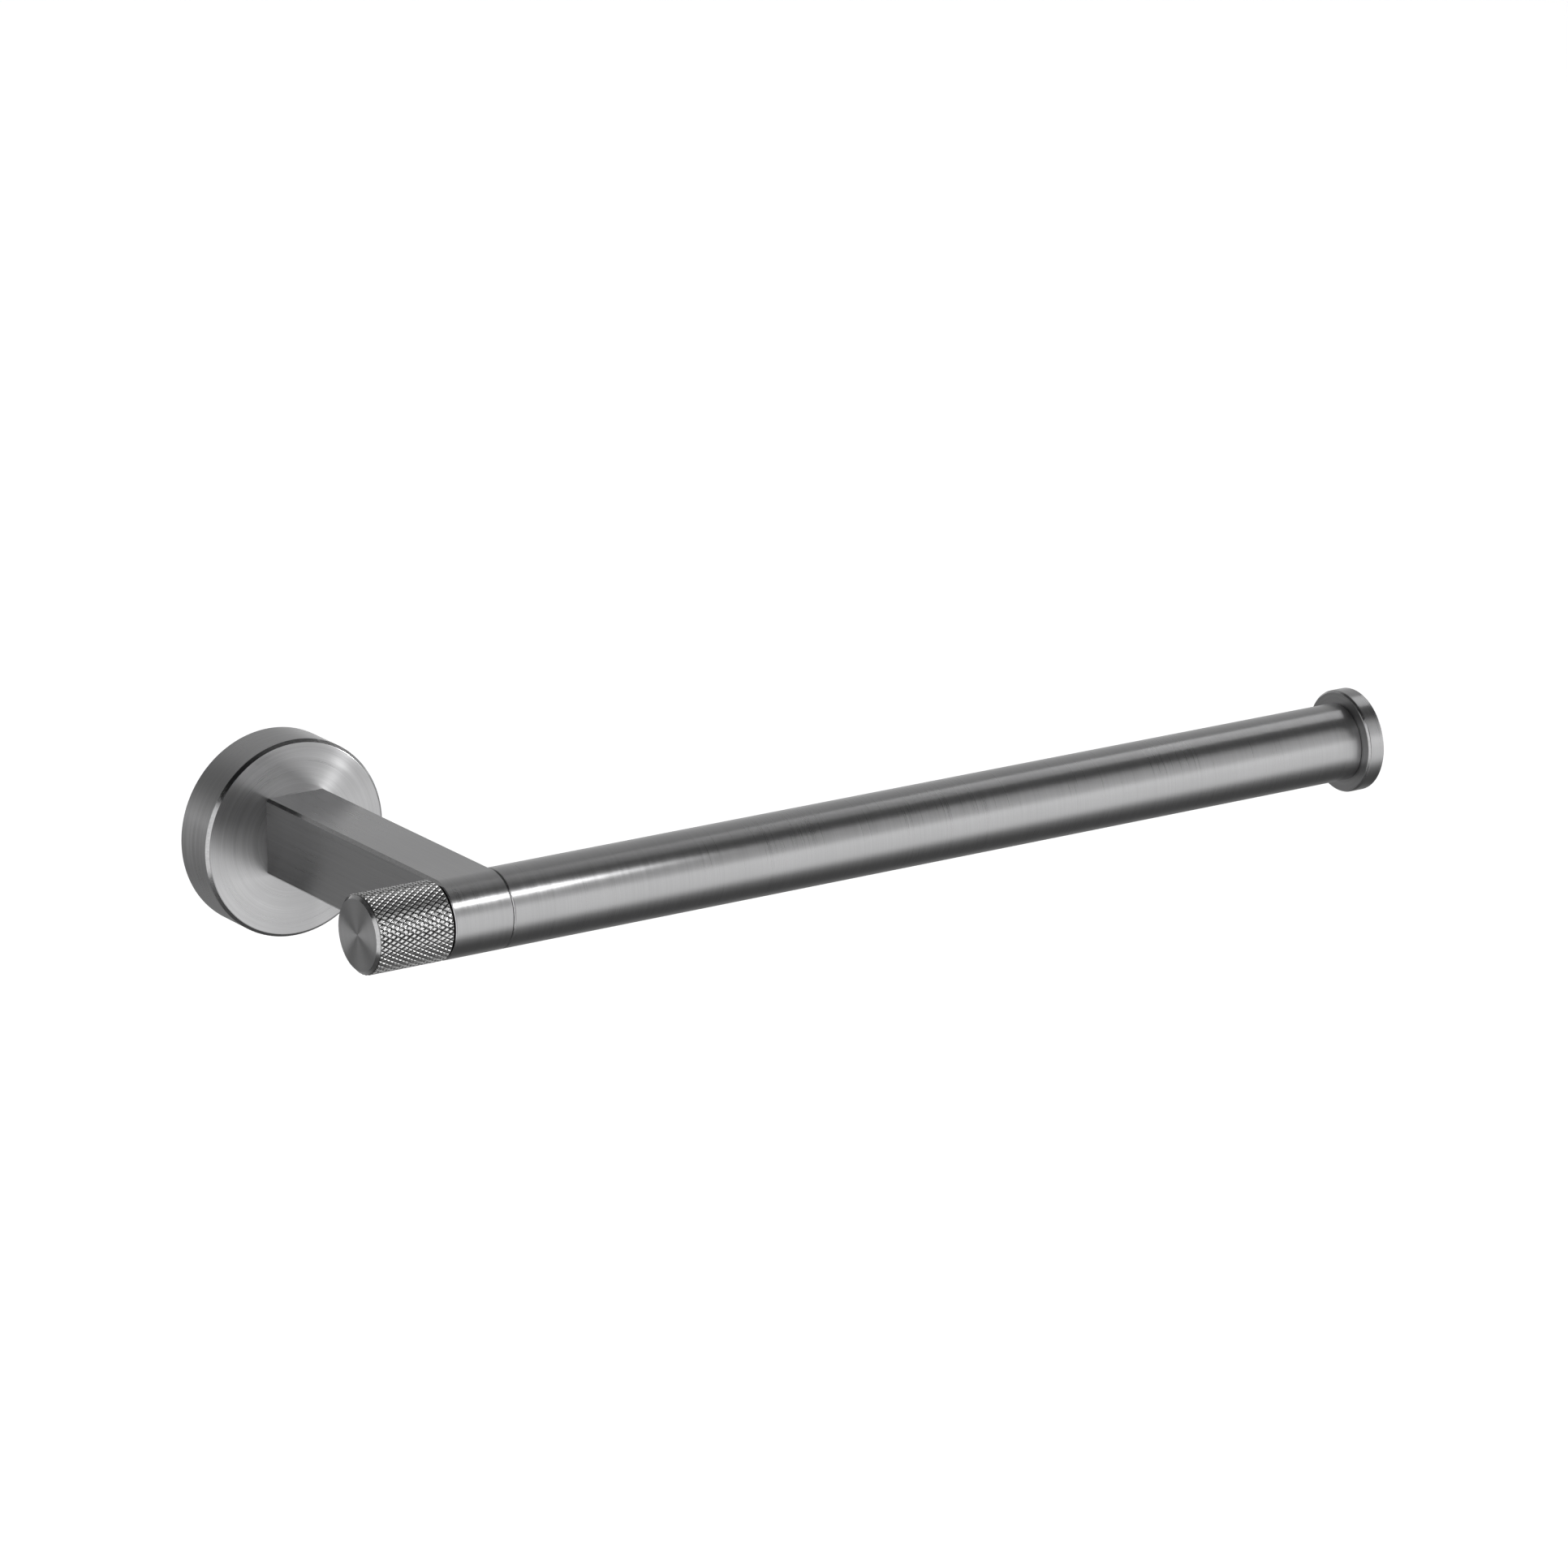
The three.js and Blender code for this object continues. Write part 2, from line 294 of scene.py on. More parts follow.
# %% [markdown]
# ## The rosette
# The rosette is a steel cup that hides the fixing. Its front is flat and brushed in circles, with a
# chamfered rim. It could be turned from its open back and hollowed with a second, smaller turning. Here the
# turning starts at the front, so that its last steps can go round the rim and down into the hollow, and one
# profile gives the whole cup. The holes for the screws are drilled afterwards.

# %% Rosette
ROSETTE_WALL = 0.0025
ROSETTE_FRONT = 0.004
ROSETTE_CHAMFER = 0.0009
SET_SCREW = Extent("rosette_set_screw")
ARM_SCREWS = ("arm_screw_upper", "arm_screw_lower")
ARM_SCREW_HOLE = 0.0024
HOLE_CLEARANCE = 0.0003


def make_rosette():
    inner = ROSETTE_RADIUS - ROSETTE_WALL
    piece = lathe("rosette_brushed", [
        (ROSETTE_RADIUS - ROSETTE_CHAMFER, 0),
        (ROSETTE_RADIUS, ROSETTE_CHAMFER),
        (ROSETTE_RADIUS, ROSETTE_DEPTH),
        (inner, ROSETTE_DEPTH),
        (inner, ROSETTE_FRONT),
    ], sides=2 * SIDES)
    lay(piece, (0, -ROSETTE_DEPTH, 0), (-math.pi / 2, 0, 0))
    hole = drill_bit(SET_SCREW.size.x / 2 + HOLE_CLEARANCE, inner - PAST, ROSETTE_RADIUS + PAST)
    lay(hole, (0, SET_SCREW.middle.y, 0), DOWN)
    cut(piece, hole)
    for node in ARM_SCREWS:
        hole = drill_bit(ARM_SCREW_HOLE, ROSETTE_DEPTH - ROSETTE_FRONT - PAST, ROSETTE_DEPTH + PAST)
        lay(hole, (0, 0, Extent(node).middle.z), OUT_FROM_WALL)
        cut(piece, hole)
    break_edges(piece)
    tidy(piece)
    return piece


rosette = make_rosette()
show(rosette, "root", "brushed_steel", "rosette")

# %% [markdown]
# ## The arm
# The arm is a straight flat bar. Its front end rounds into half a cylinder with the bar's own diameter. A
# bevel of two edges could round it, but their meeting line is hard to keep clean. Spinning the front edge
# by half a turn about the bar's axis gives an exact half round that lands on the lower edge. The two long
# corners beside the knob are filed off at a slant, and a slanting bisect does the same: it runs out by
# itself where the nose curves away, as a file does. The other rims get a finer bevel.

# %% Arm
ARM_CHAMFER = 0.0008  # along the long edges on the knob's side
RIM_CHAMFER = 0.0003  # round the nose, and along the bar's side
NOSE_STEPS = 64
STUD_BORE = 0.0034


def make_arm():
    back = -ROSETTE_DEPTH  # the arm seats on the rosette's front
    length = back - AXIS.y
    clear_selection()
    bpy.ops.mesh.primitive_cube_add(size=1, location=(0, AXIS.y + length / 2, AXIS.z))
    piece = bpy.context.active_object
    piece.name = "arm_brushed"
    piece.scale = (ARM.size.x, length, 2 * BAR_RADIUS)
    bpy.ops.object.transform_apply(location=True, rotation=True, scale=True)
    enter_edit(piece)
    pick(piece, "FACE", lambda face: face.normal.y < -0.9)
    bpy.ops.mesh.delete(type="ONLY_FACE")
    top = AXIS.z + BAR_RADIUS
    pick(piece, "EDGE", lambda edge: all(
        near(corner.co.y, AXIS.y) and near(corner.co.z, top) for corner in edge.verts))
    bpy.ops.mesh.spin(steps=NOSE_STEPS, angle=-math.pi, center=tuple(AXIS), axis=(1, 0, 0))
    lowest_nose = min(corner.co.y for corner in bmesh.from_edit_mesh(piece.data).verts)
    print("nose reaches y =", round(lowest_nose, 4), "and the sized arm", round(ARM.low.y, 4))
    bpy.ops.mesh.select_all(action="SELECT")
    bpy.ops.mesh.remove_doubles(threshold=10 * WELD)
    close_nose_sides(piece)
    chamfer_long_edges(piece, back)
    bore = drill_bit(STUD_BORE, -ARM_HALF - PAST, ARM_HALF + PAST)
    lay(bore, AXIS, ALONG_BAR)
    cut(piece, bore)
    break_edges(piece, EDGE_BREAK / 2)
    tidy(piece)
    return piece


def close_nose_sides(piece):
    """Fills the half discs that the spin leaves open, one at each side, flush with the arm's sides."""
    for side in (-ARM_HALF, ARM_HALF):
        pick(piece, "EDGE", lambda edge: len(edge.link_faces) == 1 and all(
            near(corner.co.x, side) for corner in edge.verts))
        bpy.ops.mesh.edge_face_add()
        pick(piece, "EDGE", lambda edge: all(
            near(corner.co.x, side) and near(corner.co.y, AXIS.y) for corner in edge.verts))
        bpy.ops.mesh.dissolve_edges()


def chamfer_long_edges(piece, back):
    """Slices off the two long corners beside the knob, then bevels the rims that are left."""
    for up in (1, -1):
        corner = (-ARM_HALF + ARM_CHAMFER, AXIS.y, AXIS.z + up * BAR_RADIUS)
        bpy.ops.mesh.select_all(action="SELECT")
        bpy.ops.mesh.bisect(plane_co=corner, plane_no=(-1, 0, up), use_fill=True, clear_outer=True)

    def on_rim(edge):
        side = ARM_HALF if edge.verts[0].co.x > 0 else -ARM_HALF
        flat = all(near(corner.co.x, side) for corner in edge.verts)
        turns = len(edge.link_faces) == 2 and edge.calc_face_angle(0) > math.radians(60)
        seat = all(near(corner.co.y, back) for corner in edge.verts)
        return flat and turns and not seat

    print("arm rim edges:", pick(piece, "EDGE", on_rim))
    bpy.ops.mesh.bevel(offset=RIM_CHAMFER, segments=1, affect="EDGES")
    leave_edit()


arm = make_arm()
show(arm, "root", "brushed_steel", "arm")

# %% [markdown]
# ## The bar and its end cap
# The bar is a tube, and the cap is a disc with a spigot that goes into it. The bar's end beside the nose has
# a fine chamfer: with the nose's own it makes the thin V-shaped seam between the two. A plain cylinder with
# a larger one at its end would look alike from afar, but would have no seams, and no bore to see in the
# export. So both are turned, the tube with a through bore.

# %% Bar and cap
BAR_WALL = 0.0015
BAR_CHAMFER = 0.00035
SEAM = 0.0001  # the slit left between two pieces that are clamped together
CAP_CHAMFER = 0.0003
CAP_INNER_CHAMFER = 0.00055
CAP_FACE = CAP.high.x  # the cap's outer face
CAP_THICKNESS = 0.0052
CAP_WEB = 0.0032  # the steel between the cap's outer face and the end of its bore
SPIGOT_RADIUS = BAR_RADIUS - BAR_WALL - HOLE_CLEARANCE


def make_bar():
    low, high = ARM_HALF + SEAM, CAP_FACE - CAP_THICKNESS - SEAM
    inner = BAR_RADIUS - BAR_WALL
    piece = lathe("bar_brushed", [
        (BAR_RADIUS - BAR_CHAMFER, low),
        (BAR_RADIUS, low + BAR_CHAMFER),
        (BAR_RADIUS, high),
        (inner, high),
        (inner, low),
    ], sides=2 * SIDES, through=True)
    lay(piece, AXIS, ALONG_BAR)
    break_edges(piece)
    tidy(piece)
    return piece


def make_cap():
    """Turned from the outer face towards the arm, so that the spigot and its bore come last."""
    radius = CAP.size.z / 2
    spigot = CAP.size.x
    piece = lathe("cap_brushed", [
        (radius - CAP_CHAMFER, 0),
        (radius, CAP_CHAMFER),
        (radius, CAP_THICKNESS - CAP_INNER_CHAMFER),
        (radius - CAP_INNER_CHAMFER, CAP_THICKNESS),
        (SPIGOT_RADIUS, CAP_THICKNESS),
        (SPIGOT_RADIUS, spigot),
        (STUD_BORE, spigot),
        (STUD_BORE, CAP_WEB),
    ], sides=2 * SIDES)
    lay(piece, (CAP_FACE, AXIS.y, AXIS.z), (0, -math.pi / 2, 0))
    break_edges(piece)
    tidy(piece)
    return piece


bar = make_bar()
show(bar, "root", "turned_steel", "bar_tube")
cap = make_cap()
show(cap, "root", "brushed_steel", "end_cap")

# %% [markdown]
# ## The knob and its knurl
# A knurl is rolled into the knob by two crossing sets of slanted ridges, which leave rows of small
# flat-topped diamonds with sharp grooves between them. A bump in the material would leave a smooth outline,
# so the diamonds are real. The side of a cylinder is cut into a grid, a point is poked into the middle of
# each cell, and the grid's own edges are dissolved. What is left is the slanted edges, and so a net of
# diamonds. Each diamond is then inset and raised on its own, and the grooves stay behind between them.

# %% Knob
KNURL_STARTS = 44  # diamonds round the knob
KNURL_ROWS = 9  # and along it
KNURL_DEPTH = 0.00035
KNURL_FLANK = 0.00033  # the width of a diamond's sloping border
KNOB_BEVEL = 0.0008
KNOB_RECESS_RADIUS = 0.0083
KNOB_RECESS_DEPTH = 0.0012
KNOB_BORE_DEPTH = 0.0174


def knurl(piece, low, high, root):
    """Turns the plain side of the blank into raised diamonds. The blank is upright, on the lathe's axis."""
    enter_edit(piece)
    for row in range(1, KNURL_ROWS):
        height = low + (high - low) * row / KNURL_ROWS
        bpy.ops.mesh.select_all(action="SELECT")
        bpy.ops.mesh.bisect(plane_co=(0, 0, height), plane_no=(0, 0, 1))
    pick(piece, "FACE", lambda face: abs(face.normal.z) < 0.1)
    bpy.ops.mesh.poke()
    pick(piece, "EDGE", lambda edge: runs_straight(edge, low, high, root))
    bpy.ops.mesh.dissolve_edges(use_verts=False)
    diamonds = pick(piece, "FACE", lambda face: abs(face.normal.z) < 0.1)
    bpy.ops.mesh.inset(thickness=KNURL_FLANK, depth=KNURL_DEPTH, use_individual=True)
    leave_edit()
    print("knurl:", diamonds, "diamonds")


def runs_straight(edge, low, high, root):
    """True for the grid's own edges, which lie along the axis or round it, but not at the two ends."""
    first, second = (corner.co for corner in edge.verts)
    outer = math.hypot(first.x, first.y) > root * 0.9 and math.hypot(second.x, second.y) > root * 0.9
    at_end = any(near(first.z, end) and near(second.z, end) for end in (low, high))
    level = near(first.z, second.z)
    upright = near(math.hypot(first.x - second.x, first.y - second.y), 0)
    return outer and not at_end and (level or upright)


def make_knob():
    """The blank is turned from the arm's side towards the knob's end, with the end face last."""
    root = BAR_RADIUS - KNURL_DEPTH
    length = KNOB.size.x
    shoulder = length - KNOB_BEVEL
    piece = lathe("knob_knurled", [(root, 0), (root, shoulder)], sides=KNURL_STARTS)
    knurl(piece, 0, shoulder, root)
    enter_edit(piece)
    pick(piece, "FACE", lambda face: face.normal.z > 0.9)
    bpy.ops.mesh.extrude_region_move(TRANSFORM_OT_translate={"value": (0, 0, KNOB_BEVEL)})
    narrow = (root - KNOB_BEVEL) / root
    bpy.ops.transform.resize(value=(narrow, narrow, 1), center_override=(0, 0, length))
    leave_edit()
    lay(piece, (KNOB.high.x, AXIS.y, AXIS.z), (0, -math.pi / 2, 0))
    recess = drill_bit(KNOB_RECESS_RADIUS, -KNOB_RECESS_DEPTH, KNOB_RECESS_DEPTH)
    lay(recess, (KNOB.high.x, AXIS.y, AXIS.z), ALONG_BAR)
    cut(piece, recess)
    bore = drill_bit(STUD_BORE, -KNOB_BORE_DEPTH, KNOB_RECESS_DEPTH)
    lay(bore, (KNOB.high.x, AXIS.y, AXIS.z), ALONG_BAR)
    cut(piece, bore)
    tidy(piece)
    return piece


knob = make_knob()
show(knob, "clamp_knob", "knurled_steel", "knob")

# %% [markdown]
# ## The fixing behind the rosette
# The wall plate is screwed to the wall first. The rosette drops over it, and a set screw from below
# presses into the groove round the plate's rim. Two socket screws hold the arm on the rosette from behind.
# All of it shows from the back, and the set screw from below. Each piece is a short turning, and its slots
# and sockets are cut with plain cutters, which keeps their walls straight.

# %% Wall plate
PLATE_GROOVE_DEPTH = 0.0015
GROOVE_FLOOR_HALF = 0.0013
GROOVE_MOUTH_HALF = 0.0019
POCKET_RADIUS = 0.0118
POCKET_FLOOR = 0.002
SLOT_PLACE = 0.01765  # from the plate's middle
SLOT_HALF_WIDTH = 0.0019
SLOT_STRAIGHT = 0.0052


def make_plate():
    radius, depth = PLATE.size.x / 2, PLATE.size.y
    groove, middle = radius - PLATE_GROOVE_DEPTH, depth / 2
    piece = lathe("wall_plate_zinc", [
        (radius, 0),
        (radius, middle - GROOVE_MOUTH_HALF),
        (groove, middle - GROOVE_FLOOR_HALF),
        (groove, middle + GROOVE_FLOOR_HALF),
        (radius, middle + GROOVE_MOUTH_HALF),
        (radius, depth),
        (POCKET_RADIUS, depth),
        (POCKET_RADIUS, POCKET_FLOOR),
    ])
    lay(piece, (0, 0, 0), OUT_FROM_WALL)
    for side in (-SLOT_PLACE, SLOT_PLACE):
        clear_selection()
        bpy.ops.mesh.primitive_cube_add(size=1, location=(side, -depth / 2, 0))
        slot = bpy.context.active_object
        slot.scale = (2 * SLOT_HALF_WIDTH, depth + 2 * PAST, SLOT_STRAIGHT)
        bpy.ops.object.transform_apply(location=True, rotation=True, scale=True)
        cut(piece, slot)
        for end in (-SLOT_STRAIGHT / 2, SLOT_STRAIGHT / 2):
            round_end = drill_bit(SLOT_HALF_WIDTH, -PAST, depth + PAST)
            lay(round_end, (side, 0, end), OUT_FROM_WALL)
            cut(piece, round_end)
    break_edges(piece, 2 * EDGE_BREAK)
    tidy(piece)
    return piece


plate = make_plate()
show(plate, "root", "zinc_steel", "wall_plate")

# %% [markdown]
# ## The screws
# Real screws have a socket, a chamfered end and a thread. The threads of these are out of sight in their
# holes, so they are plain, but the sockets show. A socket is six-sided, and a lathe makes only round
# pieces, so a cutter of six sides takes it out.

# %% Screws
SET_SCREW_SOCKET = 0.002  # across the flats
SET_SCREW_SOCKET_DEPTH = 0.0016
SET_SCREW_TIP = 0.001  # radius
SCREW_CHAMFER = 0.0003
ARM_SCREW_RADIUS = 0.002
ARM_SCREW_HEAD = 0.004  # the head's height
ARM_SCREW_SOCKET = 0.003
ARM_SCREW_SOCKET_DEPTH = 0.002


def hex_bit(across_flats, low, high):
    return drill_bit(across_flats / math.sqrt(3), low, high, sides=6)


def make_set_screw():
    """Turned from its tip, which presses on the plate, to its socket under the rosette."""
    tip, head = -SET_SCREW.high.z, -SET_SCREW.low.z
    radius = SET_SCREW.size.x / 2
    shoulder = ROSETTE_RADIUS - ROSETTE_WALL
    piece = lathe("set_screw_black", [
        (SET_SCREW_TIP, tip),
        (radius, shoulder),
        (radius, head - SCREW_CHAMFER),
        (radius - SCREW_CHAMFER, head),
    ], SMALL_SIDES)
    place = (0, SET_SCREW.middle.y, 0)
    lay(piece, place, DOWN)
    socket = hex_bit(SET_SCREW_SOCKET, head - SET_SCREW_SOCKET_DEPTH, head + PAST)
    lay(socket, place, DOWN)
    cut(piece, socket)
    tidy(piece)
    return piece


def make_arm_screw(node):
    """Turned from the back of its head outwards, into the arm."""
    screw = Extent(node)
    head_radius, length = screw.size.x / 2, screw.size.y
    piece = lathe(node + "_zinc", [
        (head_radius - SCREW_CHAMFER, 0),
        (head_radius, SCREW_CHAMFER),
        (head_radius, ARM_SCREW_HEAD),
        (ARM_SCREW_RADIUS, ARM_SCREW_HEAD),
        (ARM_SCREW_RADIUS, length - SCREW_CHAMFER),
        (ARM_SCREW_RADIUS - SCREW_CHAMFER, length),
    ], SMALL_SIDES)
    place = (0, screw.high.y, screw.middle.z)
    lay(piece, place, OUT_FROM_WALL)
    socket = hex_bit(ARM_SCREW_SOCKET, -PAST, ARM_SCREW_SOCKET_DEPTH)
    lay(socket, place, OUT_FROM_WALL)
    cut(piece, socket)
    tidy(piece)
    return piece


set_screw = make_set_screw()
show(set_screw, "root", "black_steel", "rosette_set_screw")
arm_screws = [make_arm_screw(node) for node in ARM_SCREWS]
for screw, node in zip(arm_screws, ARM_SCREWS):
    show(screw, "root", "zinc_steel", node)

# %% [markdown]
# ## The studs
# A stud is threaded from end to end, and the one in the nose shows when the knob is backed off. A thread is
# one tooth carried round and along the rod, which is just what the Screw modifier does. The tooth is a
# plane with its inner edge taken away. The two open ends are drawn in to flat, chamfered tips.

# %% Threaded studs
PITCH = 0.001
THREAD_DEPTH = 0.0006
CREST_SHARE = 0.2  # of the pitch, along the top of a tooth
TIP_SHARE = 0.75  # of the stud's radius, at its flat tips
THREAD_STEPS = 32


def make_stud(node, name):
    stud = Extent(node)
    crest, length = stud.size.z / 2, stud.size.x
    root = crest - THREAD_DEPTH
    turns = int(length / PITCH) - 2
    start = (length - turns * PITCH) / 2
    clear_selection()
    bpy.ops.mesh.primitive_plane_add(size=1, location=((crest + root) / 2, 0, start), rotation=OUT_FROM_WALL)
    piece = bpy.context.active_object
    piece.name = name
    piece.scale = (THREAD_DEPTH, PITCH, 1)
    bpy.ops.object.transform_apply(location=True, rotation=True, scale=True)
    enter_edit(piece)
    pick(piece, "EDGE", lambda edge: all(near(corner.co.x, crest) for corner in edge.verts))
    bpy.ops.transform.resize(value=(1, 1, CREST_SHARE), center_override=(crest, 0, start))
    pick(piece, "EDGE", lambda edge: all(near(corner.co.x, root) for corner in edge.verts))
    bpy.ops.mesh.delete(type="EDGE")
    leave_edit()
    wind = piece.modifiers.new("wind", "SCREW")
    wind.axis = "Z"
    wind.screw_offset = PITCH
    wind.iterations = turns
    wind.steps = THREAD_STEPS
    wind.render_steps = THREAD_STEPS
    wind.use_merge_vertices = True
    wind.merge_threshold = WELD
    apply_modifiers(piece)
    close_tip(piece, 0.0, lambda height: height < length / 2)
    close_tip(piece, length, lambda height: height > length / 2)
    lay(piece, (stud.low.x, AXIS.y, AXIS.z), ALONG_BAR)
    tidy(piece)
    return piece


def close_tip(piece, height, at_this_end):
    """Draws the open end of the thread in to a flat ring at the given height, and fills the ring."""
    enter_edit(piece)
    pick(piece, "EDGE", lambda edge: len(edge.link_faces) == 1 and all(
        at_this_end(corner.co.z) for corner in edge.verts))
    bpy.ops.mesh.extrude_edges_move()
    bpy.ops.transform.resize(value=(TIP_SHARE, TIP_SHARE, 0), center_override=(0, 0, height))
    bpy.ops.mesh.edge_face_add()
    leave_edit()


clamp_stud = make_stud("clamp_stud", "clamp_stud_zinc")
show(clamp_stud, "root", "zinc_steel", "clamp_stud")
cap_stud = make_stud("cap_stud", "cap_stud_zinc")
show(cap_stud, "root", "zinc_steel", "cap_stud")

# %% [markdown]
# ## What sits round the studs
# The bar is a thin tube, so two inserts inside it take the studs. A pin beside the first stud keeps the bar
# from turning while the knob is tightened, and a nylon washer between the knob and the nose keeps the steel
# from rubbing. The inserts and the washer are plain rings. A cylinder with a hole cut in it would do, but
# the lathe gives a ring without a cut, and an even mesh.

# %% Inserts, pin and washer
WASHER_HOLE = 0.0037
PIN = Extent("anti_turn_pin")


def make_ring(node, name, hole, sides=SIDES):
    """A plain ring on the bar's axis, with the node's own outside."""
    ring = Extent(node)
    radius, length = ring.size.z / 2, ring.size.x
    piece = lathe(name, [(radius, 0), (radius, length), (hole, length), (hole, 0)], sides, through=True)
    lay(piece, (ring.low.x, AXIS.y, AXIS.z), ALONG_BAR)
    return piece


def finish_ring(piece):
    break_edges(piece)
    tidy(piece)
    return piece


def make_pin():
    radius, length = PIN.size.z / 2, PIN.size.x
    piece = lathe("pin_zinc", [
        (radius - SCREW_CHAMFER, 0),
        (radius, SCREW_CHAMFER),
        (radius, length - SCREW_CHAMFER),
        (radius - SCREW_CHAMFER, length),
    ], SMALL_SIDES)
    lay(piece, (PIN.low.x, PIN.middle.y, PIN.middle.z), ALONG_BAR)
    tidy(piece)
    return piece


pin = make_pin()
show(pin, "root", "zinc_steel", "anti_turn_pin")
arm_insert = make_ring("bar_insert_arm_end", "arm_insert_zinc", STUD_BORE)
pin_hole = drill_bit(PIN.size.z / 2 + HOLE_CLEARANCE, 0, PIN.high.x + HOLE_CLEARANCE)
lay(pin_hole, (0, PIN.middle.y, PIN.middle.z), ALONG_BAR)
cut(arm_insert, pin_hole)
show(finish_ring(arm_insert), "root", "zinc_steel", "bar_insert_arm_end")
cap_insert = make_ring("bar_insert_cap_end", "cap_insert_zinc", STUD_BORE)
show(finish_ring(cap_insert), "root", "zinc_steel", "bar_insert_cap_end")
washer = make_ring("knob_washer", "washer_nylon", WASHER_HOLE)
show(finish_ring(washer), "knob_slider", "black_nylon", "knob_washer")

# %% [markdown]
# ## Brushed steel
# Brushing leaves thousands of parallel scratches. They blur a reflection across the scratches and keep it
# sharp along them, which a shader calls anisotropy. The shader needs to know which way the scratches run at
# each point: that is its tangent. On a flat bar they run straight, and on a turned piece they run in rings
# about its axis, so the tangent is worked out from the position by a cross product. The same position gives
# a noise that is stretched along the scratches, for the fine streaks in colour, roughness and height.

# %% Material helpers
def add_node(tree, kind, **settings):
    node = tree.nodes.new(kind)
    for key, value in settings.items():
        setattr(node, key, value)
    return node


def plug(tree, socket, value):
    """Links a socket, or sets it when a plain value is given."""
    if isinstance(value, bpy.types.NodeSocket):
        tree.links.new(value, socket)
    else:
        socket.default_value = value


def calculate(tree, operation, first, second=0.0):
    node = add_node(tree, "ShaderNodeMath", operation=operation)
    plug(tree, node.inputs[0], first)
    plug(tree, node.inputs[1], second)
    return node.outputs[0]


def vector(tree, operation, first, second=(0, 0, 0)):
    node = add_node(tree, "ShaderNodeVectorMath", operation=operation)
    plug(tree, node.inputs[0], first)
    plug(tree, node.inputs[1], second)
    one_number = operation in ("LENGTH", "DOT_PRODUCT")
    return node.outputs["Value"] if one_number else node.outputs["Vector"]


def stretch(tree, source, low, high):
    """Maps a noise value, which stays near the middle, onto a range."""
    node = add_node(tree, "ShaderNodeMapRange")
    plug(tree, node.inputs["Value"], source)
    node.inputs["From Min"].default_value = 0.25
    node.inputs["From Max"].default_value = 0.75
    node.inputs["To Min"].default_value = low
    node.inputs["To Max"].default_value = high
    return node.outputs["Result"]


def noise(tree, coordinates, scale, detail=3.0):
    mapping = add_node(tree, "ShaderNodeMapping")
    plug(tree, mapping.inputs["Vector"], coordinates)
    mapping.inputs["Scale"].default_value = scale
    texture = add_node(tree, "ShaderNodeTexNoise")
    plug(tree, texture.inputs["Vector"], mapping.outputs["Vector"])
    texture.inputs["Scale"].default_value = 1.0
    texture.inputs["Detail"].default_value = detail
    return texture.outputs["Fac"]


def place_from(tree, centre):
    """The position on the piece, measured from a centre."""
    coordinates = add_node(tree, "ShaderNodeTexCoord")
    return vector(tree, "SUBTRACT", coordinates.outputs["Object"], tuple(centre))


def to_world(tree, direction):
    node = add_node(tree, "ShaderNodeVectorTransform", vector_type="VECTOR")
    node.convert_from = "OBJECT"
    node.convert_to = "WORLD"
    plug(tree, node.inputs[0], direction)
    return node.outputs[0]


# %% [markdown]
# ## Which way the scratches run
# The holder is brushed in three ways: in rings on what is turned, straight along the arm's sides, and along
# the arm's top and round its nose. One pattern for all would be shorter, but the light on brushed steel
# tells at once which way it was brushed. Each pattern gives two things: coordinates whose X runs across the
# scratches, and the direction of the scratches.

# %% Scratch patterns
FINE = 5200.0  # scratches to the metre across the brushing
BROAD = 900.0  # broader streaks
ALONG = 45.0  # how slowly both change along it


def ring_scratches(tree, centre, axis):
    """Coordinates and tangent for scratches that run in rings about an axis: 0 for X, 1 for Y."""
    place = place_from(tree, centre)
    flat = [1.0, 1.0, 1.0]
    flat[axis] = 0.0
    radius = vector(tree, "LENGTH", vector(tree, "MULTIPLY", place, tuple(flat)))
    parts = add_node(tree, "ShaderNodeSeparateXYZ")
    plug(tree, parts.inputs[0], place)
    across = calculate(tree, "ADD", radius, parts.outputs[axis])
    joined = add_node(tree, "ShaderNodeCombineXYZ")
    plug(tree, joined.inputs["X"], across)
    plug(tree, joined.inputs["Y"], parts.outputs[1 - axis])
    plug(tree, joined.inputs["Z"], parts.outputs["Z"])
    direction = [0.0, 0.0, 0.0]
    direction[axis] = 1.0
    tangent = vector(tree, "CROSS_PRODUCT", tuple(direction), place)
    return joined.outputs[0], to_world(tree, vector(tree, "NORMALIZE", tangent))


def side_scratches(tree):
    """Straight scratches along the arm, on its two sides: they differ with height."""
    place = place_from(tree, AXIS)
    parts = add_node(tree, "ShaderNodeSeparateXYZ")
    plug(tree, parts.inputs[0], place)
    joined = add_node(tree, "ShaderNodeCombineXYZ")
    plug(tree, joined.inputs["X"], parts.outputs["Z"])
    plug(tree, joined.inputs["Y"], parts.outputs["Y"])
    plug(tree, joined.inputs["Z"], parts.outputs["X"])
    return joined.outputs[0], to_world(tree, vector(tree, "NORMALIZE", (0.0, 1.0, 0.0)))


def wrap_scratches(tree):
    """Scratches along the arm's top, round its nose and back underneath: they differ across its width."""
    place = place_from(tree, AXIS)
    geometry = add_node(tree, "ShaderNodeNewGeometry")
    tangent = vector(tree, "CROSS_PRODUCT", (1.0, 0.0, 0.0), geometry.outputs["Normal"])
    return place, vector(tree, "NORMALIZE", tangent)


# %% [markdown]
# ## The brushed steels
# Every brushed steel is the same material with another pattern. A fine noise and a broad one, both drawn
# out along the scratches, are mixed and used three times: for the tone, the roughness and the height. A
# picture of scratches would be easier, but it would repeat and would need a seam round every piece.

